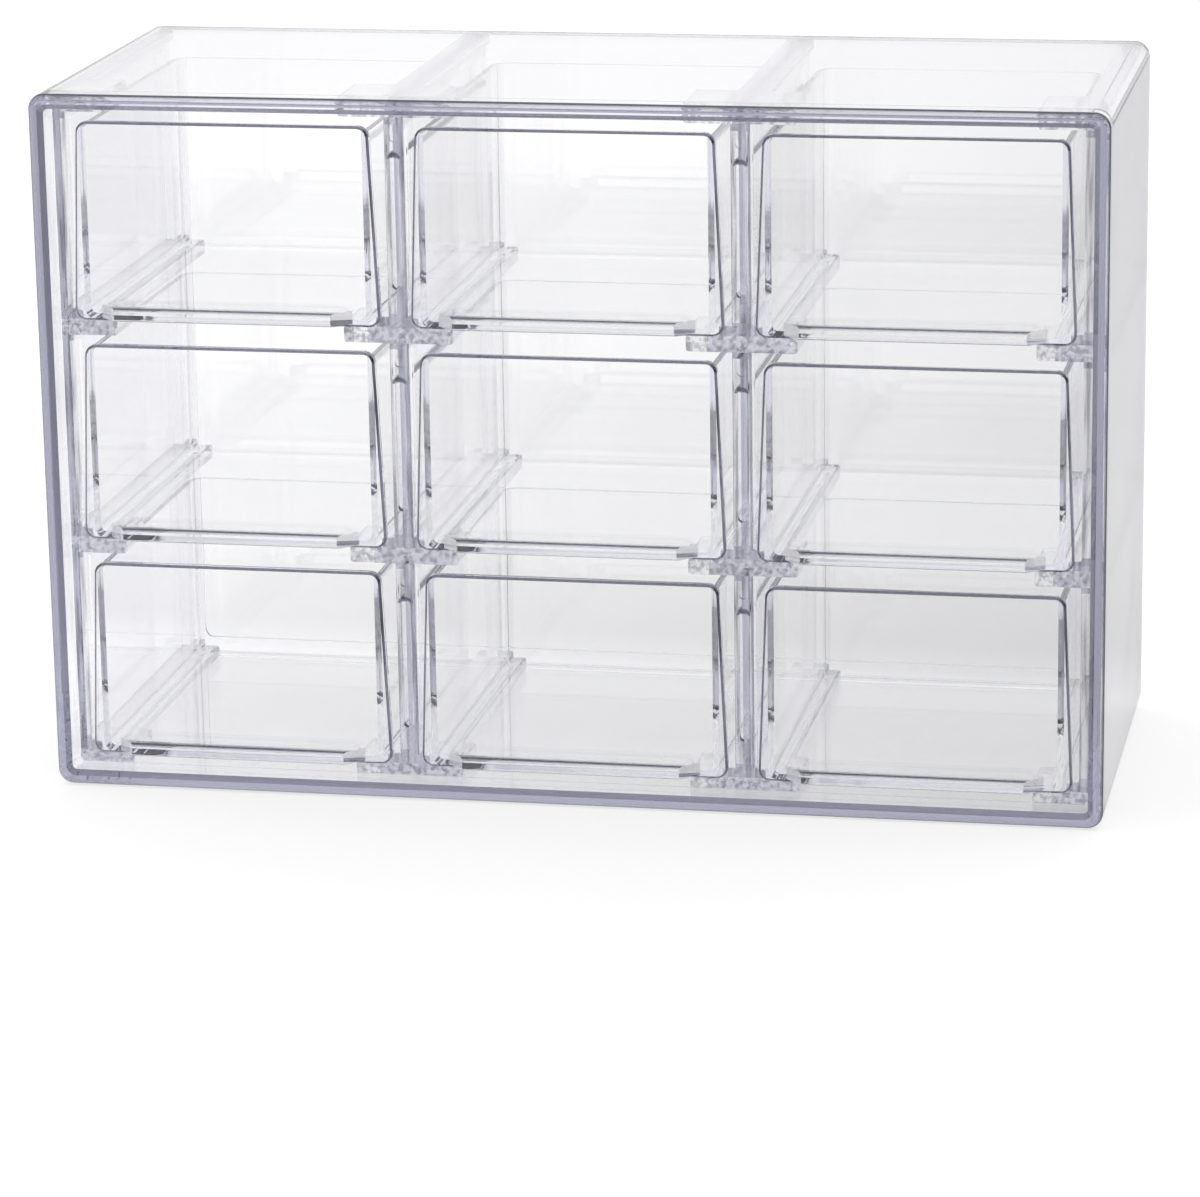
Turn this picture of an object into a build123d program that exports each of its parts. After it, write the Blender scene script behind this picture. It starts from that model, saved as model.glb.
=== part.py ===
from build123d import *
import os

# A clear nine-drawer cabinet for craft stamps, moulded in polystyrene and put together
# from the back. X is to the right, Y to the back and Z up. The origin is on the table,
# under the middle of the casing. All sizes are in millimetres.

# Casing: a rounded sleeve that is open at both ends
width = 270.0
depth = 110.0
height = 180.0
wall = 3.0
corner_radius = 4.0  # outside, along the four long edges
inner_radius = 1.2  # inside, along the same edges
mouth_step = 0.8  # how far the mouth stands inside the walls
mouth_depth = 9.0  # from the front edge to the step that the runners butt on
mouth_outer_round = 1.6
mouth_inner_bevel = 1.3
rear_bevel = 0.7

# Back panel: a plate pressed into the rear of the casing
back_thickness = 2.6
back_inset = 0.8  # the casing's edge stands this far behind the panel
back_fit = 0.1  # gap round the panel
back_border = 7.0  # rim round the panel's thinner field
back_field_depth = 0.9
back_field_radius = 3.0

# The grid of drawers, seen from the front
column_names = ["left", "middle", "right"]
line_names = ["left", "right"]  # between the columns
row_names = ["bottom", "middle", "top"]
level_names = ["base", "lower", "upper", "top"]  # under, between and over the rows
side_names = ["left", "right"]

# Uprights: dividers between the columns, and half dividers that line the side walls
divider_width = 4.9
divider_web = 2.0
liner_width = 3.8
liner_web = 1.6
border_length = 6.0  # the thick front and rear borders of an upright
head_height = 2.4  # the thick band along its top
foot_height = 2.5  # the wider band along its bottom, which steers the drawer
guide_gap = 0.75  # between a foot and the side of a drawer
front_edge_round = 0.6
groove_width = 2.4  # slot down a divider's front edge
groove_depth = 1.8
groove_end = 9.5  # from the ends of the divider to the ends of the slot
dimple_diameter = 2.2  # round mark above the slot
dimple_depth = 0.6
dimple_drop = 5.0  # from the top of the divider to the mark

# Runners: a wide block between the front panels, and behind it the rail that carries drawers
runner_height = 4.2
base_runner_height = 3.8
top_runner_height = 2.8
runner_bevel = 0.5
block_reach = 14.0  # from the middle of an upright to the edge of the wide block in front
block_length = 17.0
rail_bearing = 4.2  # behind the block, how far the rail reaches under the side of a drawer
top_rail_margin = 1.2  # the rail on top carries nothing and is just wider than an upright
tongue_height = 1.0  # key on an upright, which drops into a groove in the runner
tongue_fit = 0.1

# Drawers: one moulding each, with a tapered front panel and a finger lip
slide_gap = 0.2  # between a drawer and its runners
head_gap = 2.0  # over the front panel
front_gap_top = 3.5  # at each side of the front panel, along its top edge
front_gap_bottom = 1.35  # and along its bottom edge
front_thickness = 2.2
front_corner = 3.0
front_edge_bevel = 0.6
closing_gap = 0.3  # between the closed front panel and the runners' ends
body_gap = 3.8  # between an upright and the drawer's side
body_drop = 1.5  # the sides end this far under the top of the front panel
rear_gap = 7.0  # between the drawer's back and the back panel
drawer_wall = 1.6
rear_corner = 5.0
floor_round = 2.6
lip_width = 65.0
lip_projection = 5.0
lip_end_slope = 4.5  # the lip is this much shorter at each end along its front edge
lip_height = 3.4
lip_raise = 0.8  # under the lip
lip_round = 0.9

# Worked out from the sizes above
columns = len(column_names)
rows = len(row_names)
inner_width = width - 2 * wall
inner_height = height - 2 * wall
cell_width = (inner_width - 2 * liner_width - (columns - 1) * divider_width) / columns
column_pitch = cell_width + divider_width
row_pitch = (inner_height - base_runner_height - top_runner_height + runner_height) / rows
cell_height = row_pitch - runner_height
base_top = wall + base_runner_height
runner_front = -depth / 2 + mouth_depth
back_face = depth / 2 - back_inset - back_thickness
runner_length = back_face - runner_front
liner_offset = liner_width - divider_width / 2  # from the wall to the middle of a whole upright
foot_half_width = divider_width / 2 + body_gap - guide_gap
rail_reach = divider_width / 2 + body_gap + rail_bearing
top_rail_reach = divider_width / 2 + top_rail_margin

front_height = cell_height - slide_gap - head_gap
front_back_face = runner_front - closing_gap
body_width = cell_width - 2 * body_gap
body_length = back_face - rear_gap - front_back_face
body_height = front_height - body_drop

os.makedirs("parts", exist_ok=True)


def keep(piece, label):
    """Name a finished piece and write it to its own STEP file."""
    piece.part.label = label
    export_step(piece.part, f"parts/{label}.step")


# Casing

with BuildPart() as casing:
    with BuildSketch(Plane.XZ.offset(depth / 2)):
        with Locations((0, height / 2)):
            RectangleRounded(width, height, corner_radius)
    extrude(amount=-depth)
    with BuildSketch(Plane.XZ.offset(depth / 2)):
        with Locations((0, height / 2)):
            RectangleRounded(inner_width - 2 * mouth_step, inner_height - 2 * mouth_step, inner_radius)
    extrude(amount=-depth, mode=Mode.SUBTRACT)
    with BuildSketch(Plane.XZ.offset(-runner_front)):
        with Locations((0, height / 2)):
            RectangleRounded(inner_width, inner_height, inner_radius)
    extrude(amount=-(depth - mouth_depth), mode=Mode.SUBTRACT)
    front_face = casing.faces().sort_by(Axis.Y)[0]
    rear_face = casing.faces().sort_by(Axis.Y)[-1]
    fillet(front_face.outer_wire().edges(), mouth_outer_round)
    front_face = casing.faces().sort_by(Axis.Y)[0]
    chamfer(front_face.inner_wires()[0].edges(), mouth_inner_bevel)
    chamfer(rear_face.outer_wire().edges(), rear_bevel)
keep(casing, "casing")

# Back panel, with a thinner field inside a border

with BuildPart() as back_panel:
    with BuildSketch(Plane.XZ.offset(-back_face)):
        with Locations((0, height / 2)):
            RectangleRounded(inner_width - 2 * back_fit, inner_height - 2 * back_fit, inner_radius)
    extrude(amount=-back_thickness)
    with BuildSketch(Plane.XZ.offset(-back_face - back_thickness)):
        with Locations((0, height / 2)):
            RectangleRounded(
                inner_width - 2 * back_border, inner_height - 2 * back_border, back_field_radius
            )
    extrude(amount=back_field_depth, mode=Mode.SUBTRACT)
keep(back_panel, "back_panel")

# Divider: an upright with thick borders round a thin web. It stands on a runner, its plan
# is symmetrical, and its local origin is at the middle of its front edge, at the bottom.

with BuildPart() as divider:
    with BuildSketch(Plane.XY):
        with Locations((0, runner_length / 2)):
            Rectangle(divider_web, runner_length)
        with Locations((0, border_length / 2), (0, runner_length - border_length / 2)):
            Rectangle(divider_width, border_length)
    extrude(amount=cell_height)
    with BuildSketch(Plane.XY):
        with Locations((0, runner_length / 2)):
            Rectangle(2 * foot_half_width, runner_length)
    extrude(amount=foot_height)
    with BuildSketch(Plane.XY.offset(cell_height - head_height)):
        with Locations((0, runner_length / 2)):
            Rectangle(divider_width, runner_length)
    extrude(amount=head_height)
    upright_edges = divider.edges().filter_by(Axis.Z).filter_by_position(Axis.Y, -0.01, 0.01)
    fillet(upright_edges.filter_by(lambda e: e.length > cell_height / 2), front_edge_round)
    with BuildSketch(Plane.XY.offset(-tongue_height)):
        with Locations((0, runner_length / 2)):
            Rectangle(divider_web, runner_length - 2 * border_length)
    extrude(amount=cell_height + 2 * tongue_height)
    with BuildSketch(Plane.XZ):
        with Locations((0, cell_height / 2)):
            SlotOverall(cell_height - 2 * groove_end, groove_width, rotation=90)
    extrude(amount=-groove_depth, mode=Mode.SUBTRACT)
    with BuildSketch(Plane.XZ):
        with Locations((0, cell_height - dimple_drop)):
            Circle(dimple_diameter / 2)
    extrude(amount=-dimple_depth, mode=Mode.SUBTRACT)

# Side liner: half a divider, flat against the casing wall. Its local origin is on the wall,
# with the drawers on its +X side.

with BuildPart() as liner:
    with BuildSketch(Plane.XY):
        Rectangle(liner_web, runner_length, align=(Align.MIN, Align.MIN))
        with Locations((0, 0), (0, runner_length - border_length)):
            Rectangle(liner_width, border_length, align=(Align.MIN, Align.MIN))
    extrude(amount=cell_height)
    with BuildSketch(Plane.XY):
        Rectangle(liner_offset + foot_half_width, runner_length, align=(Align.MIN, Align.MIN))
    extrude(amount=foot_height)
    with BuildSketch(Plane.XY.offset(cell_height - head_height)):
        Rectangle(liner_width, runner_length, align=(Align.MIN, Align.MIN))
    extrude(amount=head_height)
    with BuildSketch(Plane.XY.offset(-tongue_height)):
        with Locations((0, border_length)):
            Rectangle(liner_web, runner_length - 2 * border_length, align=(Align.MIN, Align.MIN))
    extrude(amount=cell_height + 2 * tongue_height)


def centre_runner(thickness, reach, groove_above, groove_below):
    """A runner across the foot or head of a divider, from Z 0 up to its thickness.

    The rail behind its front block goes out to the given reach on both sides.
    """
    with BuildPart() as piece:
        with BuildSketch(Plane.XY):
            with Locations((0, runner_length / 2)):
                Rectangle(2 * reach, runner_length)
            with Locations((0, block_length / 2)):
                Rectangle(2 * block_reach, block_length)
        extrude(amount=thickness)
        chamfer(piece.edges().filter_by(Axis.Y), runner_bevel)
        groove_faces = [thickness] * groove_above + [0] * groove_below
        for face_height in groove_faces:
            with BuildSketch(Plane.XY.offset(face_height)):
                with Locations((0, runner_length / 2)):
                    Rectangle(
                        divider_web + 2 * tongue_fit,
                        runner_length - 2 * border_length + 2 * tongue_fit,
                    )
            sink = tongue_height + tongue_fit
            extrude(amount=-sink if face_height else sink, mode=Mode.SUBTRACT)
    return piece


def side_runner(thickness, reach, groove_above, groove_below):
    """Half a runner against the casing wall, with its local origin on the wall."""
    with BuildPart() as piece:
        with BuildSketch(Plane.XY):
            Rectangle(liner_offset + reach, runner_length, align=(Align.MIN, Align.MIN))
            Rectangle(liner_offset + block_reach, block_length, align=(Align.MIN, Align.MIN))
        extrude(amount=thickness)
        chamfer(
            piece.edges().filter_by(Axis.Y).filter_by_position(Axis.X, liner_width, width), runner_bevel
        )
        if not (groove_above and groove_below):
            wall_edges = piece.edges().filter_by(Axis.Y).group_by(Axis.X)[0]
            corner = wall_edges.sort_by(Axis.Z)[0 if groove_above else -1]
            chamfer(corner, inner_radius + tongue_fit)
        groove_faces = [thickness] * groove_above + [0] * groove_below
        for face_height in groove_faces:
            with BuildSketch(Plane.XY.offset(face_height)):
                with Locations((0, border_length - tongue_fit)):
                    Rectangle(
                        liner_web + tongue_fit,
                        runner_length - 2 * border_length + 2 * tongue_fit,
                        align=(Align.MIN, Align.MIN),
                    )
            sink = tongue_height + tongue_fit
            extrude(amount=-sink if face_height else sink, mode=Mode.SUBTRACT)
    return piece


# Drawer: the cavity first, then the moulding round it. The local origin is under the middle
# of the front panel's back face, on the plane that the runners' tops would carry.

with BuildPart() as cavity:
    with BuildSketch(Plane.XY.offset(drawer_wall)) as cavity_plan:
        Rectangle(
            body_width - 2 * drawer_wall, body_length - drawer_wall, align=(Align.CENTER, Align.MIN)
        )
        fillet(cavity_plan.vertices().group_by(Axis.Y)[-1], rear_corner - drawer_wall)
    extrude(amount=front_height)
    floor_edges = cavity.faces().sort_by(Axis.Z)[0].edges()
    fillet(floor_edges.sort_by(Axis.Y)[1:], floor_round - drawer_wall / 2)

with BuildPart() as drawer:
    with BuildSketch(Plane.XY) as body_plan:
        Rectangle(body_width, body_length, align=(Align.CENTER, Align.MIN))
        fillet(body_plan.vertices().group_by(Axis.Y)[-1], rear_corner)
    extrude(amount=body_height)
    under_edges = drawer.faces().sort_by(Axis.Z)[0].edges()
    fillet(under_edges.sort_by(Axis.Y)[1:], floor_round)
    add(cavity.part, mode=Mode.SUBTRACT)
    with BuildSketch(Plane.XZ) as panel_outline:
        with BuildLine():
            Polyline(
                (-cell_width / 2 + front_gap_bottom, 0),
                (cell_width / 2 - front_gap_bottom, 0),
                (cell_width / 2 - front_gap_top, front_height),
                (-cell_width / 2 + front_gap_top, front_height),
                close=True,
            )
        make_face()
        fillet(panel_outline.vertices(), front_corner)
    extrude(amount=front_thickness)
    panel_front = drawer.faces().sort_by(Axis.Y)[0]
    chamfer(panel_front.edges(), front_edge_bevel)
    with BuildSketch(Plane.XY.offset(lip_raise)) as lip_plan:
        with BuildLine():
            Polyline(
                (-lip_width / 2, -front_thickness),
                (lip_width / 2, -front_thickness),
                (lip_width / 2 - lip_end_slope, -front_thickness - lip_projection),
                (-lip_width / 2 + lip_end_slope, -front_thickness - lip_projection),
                close=True,
            )
        make_face()
    extrude(amount=lip_height)
    lip_front = drawer.faces().sort_by(Axis.Y)[0]
    fillet(lip_front.edges().filter_by(Axis.X), lip_round)

# Assembly: every copy stands in its own place and goes to its own file

for line, line_name in enumerate(line_names):
    line_x = (line - (columns - 2) / 2) * column_pitch
    for row, row_name in enumerate(row_names):
        with BuildPart() as placed_divider:
            with Locations((line_x, runner_front, base_top + row * row_pitch)):
                add(divider.part)
        keep(placed_divider, f"divider_{line_name}_{row_name}")

for side_name in side_names:
    for row, row_name in enumerate(row_names):
        with BuildPart() as placed_liner:
            with Locations((-inner_width / 2, runner_front, base_top + row * row_pitch)):
                add(liner.part)
            if side_name == "right":
                mirror(about=Plane.YZ, mode=Mode.REPLACE)
        keep(placed_liner, f"side_liner_{side_name}_{row_name}")

for level, level_name in enumerate(level_names):
    has_upright_above = level < rows
    has_upright_below = level > 0
    thickness = runner_height
    if not has_upright_below:
        thickness = base_runner_height
    if not has_upright_above:
        thickness = top_runner_height
    low = base_top + level * row_pitch - (thickness if has_upright_above else runner_height)
    reach = rail_reach if has_upright_above else top_rail_reach
    centre = centre_runner(thickness, reach, has_upright_above, has_upright_below)
    edge = side_runner(thickness, reach, has_upright_above, has_upright_below)
    for line, line_name in enumerate(line_names):
        line_x = (line - (columns - 2) / 2) * column_pitch
        with BuildPart() as placed_runner:
            with Locations((line_x, runner_front, low)):
                add(centre.part)
        keep(placed_runner, f"centre_runner_{line_name}_{level_name}")
    for side_name in side_names:
        with BuildPart() as placed_edge:
            with Locations((-inner_width / 2, runner_front, low)):
                add(edge.part)
            if side_name == "right":
                mirror(about=Plane.YZ, mode=Mode.REPLACE)
        keep(placed_edge, f"side_runner_{side_name}_{level_name}")

for column, column_name in enumerate(column_names):
    drawer_x = (column - (columns - 1) / 2) * column_pitch
    for row, row_name in enumerate(row_names):
        with BuildPart() as placed_drawer:
            with Locations((drawer_x, front_back_face, base_top + row * row_pitch + slide_gap)):
                add(drawer.part)
        keep(placed_drawer, f"drawer_{row_name}_{column_name}")
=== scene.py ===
import math

import bpy
import numpy as np
from mathutils import Matrix, Vector

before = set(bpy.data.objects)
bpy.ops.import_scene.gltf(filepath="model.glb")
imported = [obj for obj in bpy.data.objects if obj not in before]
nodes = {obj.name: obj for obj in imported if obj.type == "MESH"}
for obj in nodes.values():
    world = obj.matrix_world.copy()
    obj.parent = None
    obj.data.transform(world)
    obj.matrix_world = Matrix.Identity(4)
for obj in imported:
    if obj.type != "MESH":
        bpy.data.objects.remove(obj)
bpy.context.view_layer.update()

# ---------------------------------------------------------------------------------------
# Casing: one rounded sleeve of clear general-purpose polystyrene, injection moulded
# between polished steel halves, so its faces are glossy and hardly wavy. The other pieces
# are moulded from the same resin, whose optics are set up here.
# ---------------------------------------------------------------------------------------

MM = 0.001
POLYSTYRENE_IOR = 1.59
CLEAR_HEX = "#ffffff"
RESIN_TINT_HEX = "#b2b2cb"  # what light turns to that comes a long way through the resin
PAINTED_EDGE_SHADE_HEX = "#3a3a4c"  # painted shade on rounded and bevelled front edges, for the dark side of the room that they bend into view
FRONT_ZONE_END = (-45 * MM, -43 * MM)  # edges get painted shade as far back as here
REAR_EDGE_SHARE = 0.12  # what is left of that behind it
NOISE_SPREAD = (0.35, 0.65)  # nearly all values of a noise lie in here
HAZE_SPREAD = (0.4, 1.6)  # the haze varies by this about a piece's roughness
NO_LEAN, FULL_LEAN = 0.02, 0.92  # edges lean between these, and the flat faces lie outside


def linear(hex_colour):
    """Linear RGBA of an sRGB hex colour.

    A channel c becomes c / 12.92 up to 0.04045, and ((c + 0.055) / 1.055) ** 2.4 above it.
    """
    srgb = np.array([int(hex_colour[i : i + 2], 16) for i in (1, 3, 5)]) / 255
    rgb = np.where(srgb <= 0.04045, srgb / 12.92, ((srgb + 0.055) / 1.055) ** 2.4)
    return (*rgb.tolist(), 1.0)


def add(tree, kind, settings=None, **inputs):
    """Add one node: settings are its options, and inputs are values or sockets that feed them.

    An input is named by its label with _ for a space, or by _ and its number.
    """
    node = tree.nodes.new(kind)
    for name, value in (settings or {}).items():
        setattr(node, name, value)
    for name, value in inputs.items():
        numbered = name[1:].isdigit()
        socket = node.inputs[int(name[1:]) if numbered else name.replace("_", " ")]
        if isinstance(value, bpy.types.NodeSocket):
            tree.links.new(value, socket)
        else:
            socket.default_value = value
    return node


def clear_polystyrene(
    name, tint_hex, absorption, painted_shade_stops, roughness, flow_mm, mottle_mm, painted_shade_marks=None
):
    """Clear moulded polystyrene: long flow waves and a finer mottle in a polished skin, and a
    body that tints light only over a long way, by absorption for each metre of it.

    Rounded and bevelled front edges get painted shade in the base colour, for the dark that such
    mouldings bend into view on a bright table: painted_shade_stops say how dark, by how far the
    normal leans towards Y. flow_mm and mottle_mm are each a pattern's width and height in
    millimetres, and painted_shade_marks may add more places of painted shade.
    """
    material = bpy.data.materials.new(name)
    material.use_nodes = True
    tree = material.node_tree
    tree.nodes.clear()
    place = add(tree, "ShaderNodeTexCoord")
    flow = add(
        tree, "ShaderNodeTexNoise",
        Vector=place.outputs["Object"], Scale=1 / (flow_mm[0] * MM), Detail=1.0,
    )
    mottle = add(
        tree, "ShaderNodeTexNoise",
        Vector=place.outputs["Object"], Scale=1 / (mottle_mm[0] * MM), Detail=2.0,
    )
    haze = add(
        tree, "ShaderNodeMapRange", Value=mottle.outputs["Fac"],
        From_Min=NOISE_SPREAD[0], From_Max=NOISE_SPREAD[1],
        To_Min=roughness * HAZE_SPREAD[0], To_Max=roughness * HAZE_SPREAD[1],
    )
    tone = add(
        tree, "ShaderNodeMix", {"data_type": "RGBA"},
        _0=flow.outputs["Fac"], _6=linear(tint_hex), _7=linear(CLEAR_HEX),
    )
    facing = add(tree, "ShaderNodeSeparateXYZ", Vector=place.outputs["Normal"])
    lean = add(tree, "ShaderNodeMath", {"operation": "ABSOLUTE"}, _0=facing.outputs["Y"])
    # Painted shade on the edges: how dark by how far the normal leans towards Y, fading behind the
    # front.
    leaning = add(tree, "ShaderNodeValToRGB", Fac=lean.outputs[0])
    stops = leaning.color_ramp.elements
    stops[0].position, stops[0].color = NO_LEAN, (0, 0, 0, 1)
    stops[1].position, stops[1].color = FULL_LEAN, (0, 0, 0, 1)
    for position, dark in painted_shade_stops:
        stops.new(position).color = (dark, dark, dark, 1)
    depth = add(tree, "ShaderNodeSeparateXYZ", Vector=place.outputs["Object"])
    in_front = add(
        tree, "ShaderNodeMapRange", Value=depth.outputs["Y"],
        From_Min=FRONT_ZONE_END[0], From_Max=FRONT_ZONE_END[1],
        To_Min=1.0, To_Max=REAR_EDGE_SHARE,
    )
    painted_edge_shade = add(
        tree, "ShaderNodeMath", {"operation": "MULTIPLY"},
        _0=leaning.outputs["Color"], _1=in_front.outputs[0],
    )
    # Marks add more painted shade.
    if painted_shade_marks:
        painted_edge_shade = add(
            tree, "ShaderNodeMath", {"operation": "MAXIMUM"},
            _0=painted_edge_shade.outputs[0], _1=painted_shade_marks(tree, depth),
        )
    # The base colour: the flow tone, with the painted shade of the edges and marks mixed in.
    colour = add(
        tree, "ShaderNodeMix", {"data_type": "RGBA"},
        _0=painted_edge_shade.outputs[0], _6=tone.outputs[2], _7=linear(PAINTED_EDGE_SHADE_HEX),
    )
    waves = add(
        tree, "ShaderNodeBump",
        Height=flow.outputs["Fac"], Distance=flow_mm[1] * MM, Strength=1.0,
    )
    skin = add(
        tree, "ShaderNodeBump",
        Height=mottle.outputs["Fac"], Distance=mottle_mm[1] * MM, Strength=1.0,
        Normal=waves.outputs[0],
    )
    surface = add(
        tree, "ShaderNodeBsdfPrincipled",
        Base_Color=colour.outputs[2], Roughness=haze.outputs[0], IOR=POLYSTYRENE_IOR,
        Transmission_Weight=1.0, Normal=skin.outputs[0],
    )
    body = add(
        tree, "ShaderNodeVolumeAbsorption", Color=linear(RESIN_TINT_HEX), Density=absorption
    )
    add(tree, "ShaderNodeOutputMaterial", Surface=surface.outputs[0], Volume=body.outputs[0])
    return material


def give(node_names, material):
    """Put one material on CAD nodes."""
    for name in node_names:
        mesh = nodes[name].data
        mesh.materials.clear()
        mesh.materials.append(material)


# Mirror-polished steel leaves sharp reflections, and the mouth's rounds and bevels get painted
# shade.
MOUTH_SHADE_STOPS = ((0.08, 1.0), (0.55, 1.0), (0.66, 0.7), (0.76, 0.6), (0.84, 0.15))
polished_casing = clear_polystyrene(
    "moulded_polystyrene_casing", tint_hex="#fcfcfe", absorption=14.0,
    painted_shade_stops=MOUTH_SHADE_STOPS, roughness=0.003, flow_mm=(60, 0.02), mottle_mm=(6, 0.0005),
)
give(["casing"], polished_casing)

# ---------------------------------------------------------------------------------------
# Back panel: a plate of the same resin, pressed into the rear of the casing. It is moulded
# flat and a little wavier than the casing.
# ---------------------------------------------------------------------------------------

AIR_FILM = 0.02 * MM  # each of two faces that touch dry gives up this much
SAME_POINT = 0.001 * MM  # the split points of a crease lie closer together than this


def air_film(depth):
    """Geometry nodes that sink a surface by depth, as dry mouldings that touch keep air between.

    Each point moves against the normal that it has on a copy merged at the creases, so that
    the faces on both sides of a crease stay joined.
    """
    group = bpy.data.node_groups.new("air_film", "GeometryNodeTree")
    for in_out in ("INPUT", "OUTPUT"):
        group.interface.new_socket(
            "Geometry", in_out=in_out, socket_type="NodeSocketGeometry"
        )
    solid = add(group, "NodeGroupInput")
    merged = add(
        group, "GeometryNodeMergeByDistance", Geometry=solid.outputs[0], Distance=SAME_POINT
    )
    same_place = add(group, "GeometryNodeSampleNearest", Geometry=merged.outputs[0])
    normal = add(group, "GeometryNodeInputNormal")
    outward = add(
        group, "GeometryNodeSampleIndex", {"data_type": "FLOAT_VECTOR", "domain": "POINT"},
        Geometry=merged.outputs[0], Value=normal.outputs[0], Index=same_place.outputs[0],
    )
    step = add(
        group, "ShaderNodeVectorMath", {"operation": "SCALE"},
        _0=outward.outputs[0], Scale=-depth,
    )
    sunk = add(
        group, "GeometryNodeSetPosition", Geometry=solid.outputs[0], Offset=step.outputs[0]
    )
    add(group, "NodeGroupOutput", Geometry=sunk.outputs[0])
    return group


# The fixed pieces touch each other and the casing, and without the film light is lost there.
dry_contact = air_film(AIR_FILM)
for name, node in nodes.items():
    if name.startswith(("back_panel", "centre_runner", "side_runner", "divider", "side_liner")):
        node.modifiers.new("air_film", "NODES").node_group = dry_contact

# A flat mould half with a plain polish: what is seen through the panel bends a little.
# Paler painted shade on the edges of the pieces behind the mouth.
SOFT_SHADE_STOPS = ((0.10, 0.5), (0.74, 0.5), (0.82, 0.0))
flat_panel = clear_polystyrene(
    "moulded_polystyrene_panel", tint_hex="#fcfcfd", absorption=8.0,
    painted_shade_stops=SOFT_SHADE_STOPS, roughness=0.004, flow_mm=(45, 0.03), mottle_mm=(8, 0.0008),
)
give(["back_panel"], flat_panel)

# ---------------------------------------------------------------------------------------
# Runners: flat bars with a wide block in front, keyed across the feet and heads of the
# uprights. Their front ends get spots of painted shade.
# ---------------------------------------------------------------------------------------

FRONT_ENDS_END = (-45.5 * MM, -44.5 * MM)  # the front ends stand just before this
SPOT = 1.4 * MM  # the width of one spot of painted shade
SPOT_SPREAD = (0.42, 0.62)  # the noise's values where a spot begins and is full
SPOT_SHADE = 0.75


def front_ends(tree, place):
    """1 on the front ends of the pieces behind the casing's mouth, and 0 from 1 mm behind."""
    return add(
        tree, "ShaderNodeMapRange", Value=place.outputs["Y"],
        From_Min=FRONT_ENDS_END[0], From_Max=FRONT_ENDS_END[1], To_Min=1.0, To_Max=0.0,
    ).outputs[0]


def painted_shade_spots(tree, place):
    """Spots of painted shade on the front ends: a fine noise, from a little under its middle
    value.
    """
    where = add(tree, "ShaderNodeTexCoord")
    noise = add(
        tree, "ShaderNodeTexNoise",
        Vector=where.outputs["Object"], Scale=1 / SPOT, Detail=3.0,
    )
    spots = add(
        tree, "ShaderNodeMapRange", Value=noise.outputs["Fac"],
        From_Min=SPOT_SPREAD[0], From_Max=SPOT_SPREAD[1], To_Min=0.0, To_Max=SPOT_SHADE,
    )
    return add(
        tree, "ShaderNodeMath", {"operation": "MULTIPLY"},
        _0=spots.outputs[0], _1=front_ends(tree, place),
    ).outputs[0]


# Short waves and spots of painted shade make the blocks look like ice, while the bars behind them
# stay clear.
thick_bar = clear_polystyrene(
    "moulded_polystyrene_runner", tint_hex="#fafafc", absorption=7.0,
    painted_shade_stops=SOFT_SHADE_STOPS, roughness=0.006, flow_mm=(12, 0.03), mottle_mm=(2.5, 0.006),
    painted_shade_marks=painted_shade_spots,
)
give([name for name in nodes if "runner" in name], thick_bar)

# ---------------------------------------------------------------------------------------
# Uprights: the dividers between the columns and the half dividers on the casing's walls,
# with thick borders round a thin web, moulded in one shot. The front border gets streaks
# of painted shade, and the round end of each slot gets painted shade.
# ---------------------------------------------------------------------------------------

COLUMN_PITCH = 87.1 * MM
ROW_PITCH = 57.2 * MM
SLOT_TOP = 49.1 * MM  # the middle of the slot's round top end in the bottom row
SLOT_RADIUS = 1.2 * MM
SLOT_SHADE_SPREAD = (1.5 * SLOT_RADIUS, 2.1 * SLOT_RADIUS)  # painted shade up to here, and none from here
SLOT_UPPER_SPREAD = 0.4 * SLOT_RADIUS
STREAK = 1.3 * MM  # the width of one streak of painted shade
STREAK_SQUEEZE = 0.06  # its width over its length
STREAK_SPREAD = (0.4, 0.62)  # the noise's values where a streak begins and is full
STREAK_SHADE = (0.1, 0.8)


def painted_slot_shade(tree, place):
    """Painted shade: 1 in and just over the upper half of each slot's round end, and 0 further
    out.

    The distance from the end's middle, across and up the front edge, says how far out a
    point is. Up the cabinet the pattern repeats with the rows.
    """
    across = add(tree, "ShaderNodeMath", {"operation": "ABSOLUTE"}, _0=place.outputs["X"])
    off = add(
        tree, "ShaderNodeMath", {"operation": "SUBTRACT"},
        _0=across.outputs[0], _1=COLUMN_PITCH / 2,
    )
    level = add(
        tree, "ShaderNodeMath", {"operation": "SUBTRACT"},
        _0=place.outputs["Z"], _1=SLOT_TOP,
    )
    up = add(
        tree, "ShaderNodeMath", {"operation": "WRAP"},
        _0=level.outputs[0], _1=ROW_PITCH / 2, _2=-ROW_PITCH / 2,
    )
    from_middle = add(tree, "ShaderNodeCombineXYZ", X=off.outputs[0], Y=up.outputs[0])
    radius = add(
        tree, "ShaderNodeVectorMath", {"operation": "LENGTH"}, _0=from_middle.outputs[0]
    )
    inside = add(
        tree, "ShaderNodeMapRange", {"interpolation_type": "SMOOTHSTEP"},
        Value=radius.outputs["Value"],
        From_Min=SLOT_SHADE_SPREAD[0], From_Max=SLOT_SHADE_SPREAD[1], To_Min=1.0, To_Max=0.0,
    )
    upper = add(
        tree, "ShaderNodeMapRange", {"interpolation_type": "SMOOTHSTEP"},
        Value=up.outputs[0],
        From_Min=0.0, From_Max=SLOT_UPPER_SPREAD, To_Min=0.0, To_Max=1.0,
    )
    return add(
        tree, "ShaderNodeMath", {"operation": "MULTIPLY"},
        _0=inside.outputs[0], _1=upper.outputs[0],
    ).outputs[0]


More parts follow.
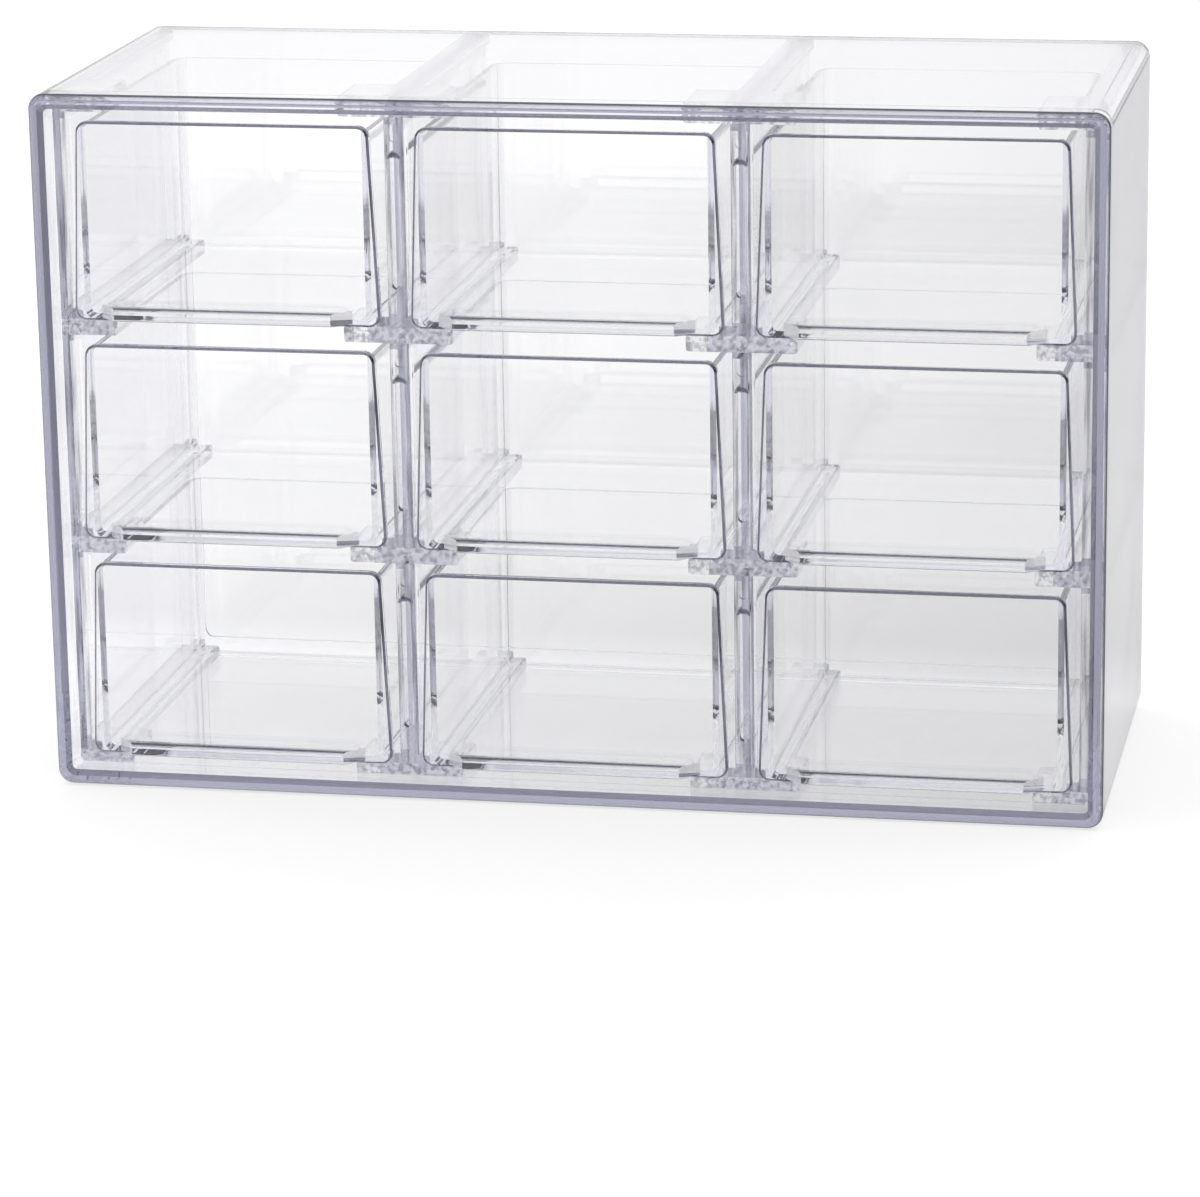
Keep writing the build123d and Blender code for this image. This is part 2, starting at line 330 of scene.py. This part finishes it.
def painted_shade_streaks(tree, place):
    """Streaks of painted shade up the front ends: a noise over the width and the squeezed height.
    """
    low = add(
        tree, "ShaderNodeMath", {"operation": "MULTIPLY"},
        _0=place.outputs["Z"], _1=STREAK_SQUEEZE,
    )
    squeezed = add(tree, "ShaderNodeCombineXYZ", X=place.outputs["X"], Z=low.outputs[0])
    noise = add(
        tree, "ShaderNodeTexNoise", Vector=squeezed.outputs[0], Scale=1 / STREAK, Detail=1.0
    )
    streaks = add(
        tree, "ShaderNodeMapRange", Value=noise.outputs["Fac"],
        From_Min=STREAK_SPREAD[0], From_Max=STREAK_SPREAD[1],
        To_Min=STREAK_SHADE[0], To_Max=STREAK_SHADE[1],
    )
    return add(
        tree, "ShaderNodeMath", {"operation": "MULTIPLY"},
        _0=streaks.outputs[0], _1=front_ends(tree, place),
    ).outputs[0]


def upright_painted_shade(tree, place):
    """The darker one of the painted shade at the slot tops and in the streaks."""
    return add(
        tree, "ShaderNodeMath", {"operation": "MAXIMUM"},
        _0=painted_slot_shade(tree, place), _1=painted_shade_streaks(tree, place),
    ).outputs[0]


# Seen edge on, the resin's own tint shows between the streaks of painted shade.
bordered_upright = clear_polystyrene(
    "moulded_polystyrene_upright", tint_hex="#fbfbfd", absorption=10.0,
    painted_shade_stops=SOFT_SHADE_STOPS, roughness=0.006, flow_mm=(20, 0.02), mottle_mm=(4, 0.0015),
    painted_shade_marks=upright_painted_shade,
)
give([name for name in nodes if name.startswith(("divider", "side_liner"))], bordered_upright)

# ---------------------------------------------------------------------------------------
# Drawers: each is one thin-walled moulding with its tapered front panel and finger lip.
# They are the clearest pieces, with faint flow waves in their large faces.
# ---------------------------------------------------------------------------------------

# The faces nearly vanish, and the front panel is read by a line of painted shade on its bevel.
FRONT_SHADE_STOPS = (
    (0.10, 1.0), (0.60, 1.0), (0.64, 0.45), (0.685, 0.45), (0.70, 1.0), (0.74, 1.0), (0.82, 0.0)
)  # painted shade: the front's bevels, near 0.71, are darkest, and the finger lip's slopes, near 0.67, paler
thin_drawer = clear_polystyrene(
    "moulded_polystyrene_drawer", tint_hex="#fdfdfe", absorption=2.5,
    painted_shade_stops=FRONT_SHADE_STOPS, roughness=0.003, flow_mm=(40, 0.02), mottle_mm=(5, 0.0005),
)
give([name for name in nodes if name.startswith("drawer")], thin_drawer)

# ---------------------------------------------------------------------------------------
# Studio: a sheet of white paper on a table under a large soft tent that is open towards
# the viewer. The paper shows as white to the eye, and to reflections and through the plastic
# it glows with painted light, brighter to the left and under the cabinet.
# ---------------------------------------------------------------------------------------

PAPER_REACH = 8.0
PAPER_DROP = 0.3 * MM  # under the casing
PAPER_HEX = "#b8b8b8"
PAPER_GLOW = 0.72  # to the eye
PAINTED_GLOW_LEFT = 0.66  # painted light to reflections and through the plastic, brighter on the left
PAINTED_GLOW_RIGHT = 0.33
GLOW_REACH = 0.3
PAINTED_POOL_UNDER = 1.38  # a painted pool of light: times as much under the cabinet
PAINTED_POOL_SPREAD = (0.05, 0.12)  # from the cabinet's rear to where the paper is as bright as elsewhere

corners = [(x, y, -PAPER_DROP) for x, y in ((-1, -1), (1, -1), (1, 1), (-1, 1))]
paper_mesh = bpy.data.meshes.new("paper")
paper_mesh.from_pydata(
    [(x * PAPER_REACH, y * PAPER_REACH, z) for x, y, z in corners], [], [(0, 1, 2, 3)]
)
paper = bpy.data.objects.new("paper", paper_mesh)
scene = bpy.context.scene
scene.collection.objects.link(paper)

# Matt uncoated paper: it takes the cabinet's soft shadow and gives no highlight.
white_paper = bpy.data.materials.new("matt_white_paper")
white_paper.use_nodes = True
tree = white_paper.node_tree
tree.nodes.clear()
path = add(tree, "ShaderNodeLightPath")
place = add(tree, "ShaderNodeTexCoord")
across = add(tree, "ShaderNodeSeparateXYZ", Vector=place.outputs["Object"])
# Painted light: the glow seen in reflections and through the plastic is brighter to the left and
# under the cabinet.
painted_side_glow = add(
    tree, "ShaderNodeMapRange", {"interpolation_type": "SMOOTHSTEP"},
    Value=across.outputs["X"],
    From_Min=-GLOW_REACH, From_Max=GLOW_REACH, To_Min=PAINTED_GLOW_LEFT, To_Max=PAINTED_GLOW_RIGHT,
)
bounced = add(
    tree, "ShaderNodeMath", {"operation": "MAXIMUM"},
    _0=path.outputs["Is Glossy Ray"], _1=path.outputs["Is Transmission Ray"],
)
under = add(
    tree, "ShaderNodeMapRange", {"interpolation_type": "SMOOTHSTEP"},
    Value=across.outputs["Y"],
    From_Min=PAINTED_POOL_SPREAD[0], From_Max=PAINTED_POOL_SPREAD[1], To_Min=PAINTED_POOL_UNDER, To_Max=1.0,
)
painted_glow = add(
    tree, "ShaderNodeMath", {"operation": "MULTIPLY"}, _0=painted_side_glow.outputs[0], _1=under.outputs[0]
)
through = add(
    tree, "ShaderNodeMath", {"operation": "MULTIPLY"},
    _0=bounced.outputs[0], _1=painted_glow.outputs[0],
)
glow = add(
    tree, "ShaderNodeMath", {"operation": "MULTIPLY_ADD"},
    _0=path.outputs["Is Camera Ray"], _1=PAPER_GLOW, _2=through.outputs[0],
)
matt = add(tree, "ShaderNodeBsdfDiffuse", Color=linear(PAPER_HEX))
light = add(tree, "ShaderNodeEmission", Strength=glow.outputs[0])
both = add(tree, "ShaderNodeAddShader", _0=matt.outputs[0], _1=light.outputs[0])
add(tree, "ShaderNodeOutputMaterial", Surface=both.outputs[0])
paper_mesh.materials.append(white_paper)

TENT_AXIS = (-0.28, 0.62, 0.73)  # the tent is brightest this way, and darkest the other way
TENT_DARK = (0.36, "#1e1e28")  # a place from the dark end to the bright one, and its colour
TENT_GREY = (0.52, "#828288")
TENT_WHITE = (0.66, "#ffffff")

world = bpy.data.worlds.new("studio_tent")
scene.world = world
world.use_nodes = True
tree = world.node_tree
tree.nodes.clear()
way = add(tree, "ShaderNodeTexCoord")
along = add(
    tree, "ShaderNodeVectorMath", {"operation": "DOT_PRODUCT"},
    _0=way.outputs["Generated"], _1=TENT_AXIS,
)
place_on_ramp = add(
    tree, "ShaderNodeMapRange", Value=along.outputs["Value"], From_Min=-1.0, From_Max=1.0
)
ramp = add(tree, "ShaderNodeValToRGB", Fac=place_on_ramp.outputs[0])
stops = ramp.color_ramp.elements
stops[0].position, stops[0].color = TENT_DARK[0], linear(TENT_DARK[1])
stops[1].position, stops[1].color = TENT_WHITE[0], linear(TENT_WHITE[1])
stops.new(TENT_GREY[0]).color = linear(TENT_GREY[1])
path = add(tree, "ShaderNodeLightPath")
shown = add(
    tree, "ShaderNodeMix", {"data_type": "RGBA"},
    _0=path.outputs["Is Camera Ray"], _6=ramp.outputs["Color"], _7=(1.0, 1.0, 1.0, 1.0),
)
background = add(tree, "ShaderNodeBackground", Color=shown.outputs[2], Strength=1.0)
add(tree, "ShaderNodeOutputWorld", Surface=background.outputs[0])

CLEAR_BOUNCES = 96  # light crosses dozens of clear faces, and a path cut short is black
DIFFUSE_BOUNCES = 2

scene.view_settings.view_transform = "Standard"
scene.cycles.max_bounces = CLEAR_BOUNCES
scene.cycles.transmission_bounces = CLEAR_BOUNCES
scene.cycles.glossy_bounces = CLEAR_BOUNCES
scene.cycles.diffuse_bounces = DIFFUSE_BOUNCES

# The camera stands at the photograph's viewing angle, a little to the right and above.
CAMERA_AZIMUTH = 11.21
CAMERA_ELEVATION = 15.49
CAMERA_ROLL = -0.91
CAMERA_DISTANCE = 1.241
CAMERA_AIM = Vector((0.0087, -0.055, 0.0551))
CAMERA_NEAR, CAMERA_FAR = 0.05, 50.0
SENSOR_WIDTH = 36.0
FOCAL_PIXELS = 4958.0
FRAME_WIDTH_PIXELS = 1200

camera_data = bpy.data.cameras.new("camera")
camera_data.sensor_width = SENSOR_WIDTH
camera_data.lens = FOCAL_PIXELS * SENSOR_WIDTH / FRAME_WIDTH_PIXELS
camera_data.clip_start = CAMERA_NEAR
camera_data.clip_end = CAMERA_FAR
camera = bpy.data.objects.new("camera", camera_data)
scene.collection.objects.link(camera)
azimuth, elevation = math.radians(CAMERA_AZIMUTH), math.radians(CAMERA_ELEVATION)
away = Vector(
    (
        math.sin(azimuth) * math.cos(elevation),
        -math.cos(azimuth) * math.cos(elevation),
        math.sin(elevation),
    )
)
roll = Matrix.Rotation(math.radians(CAMERA_ROLL), 3, "Z").to_quaternion()
camera.rotation_mode = "QUATERNION"
camera.location = CAMERA_AIM + away * CAMERA_DISTANCE
camera.rotation_quaternion = (-away).to_track_quat("-Z", "Y") @ roll
scene.camera = camera
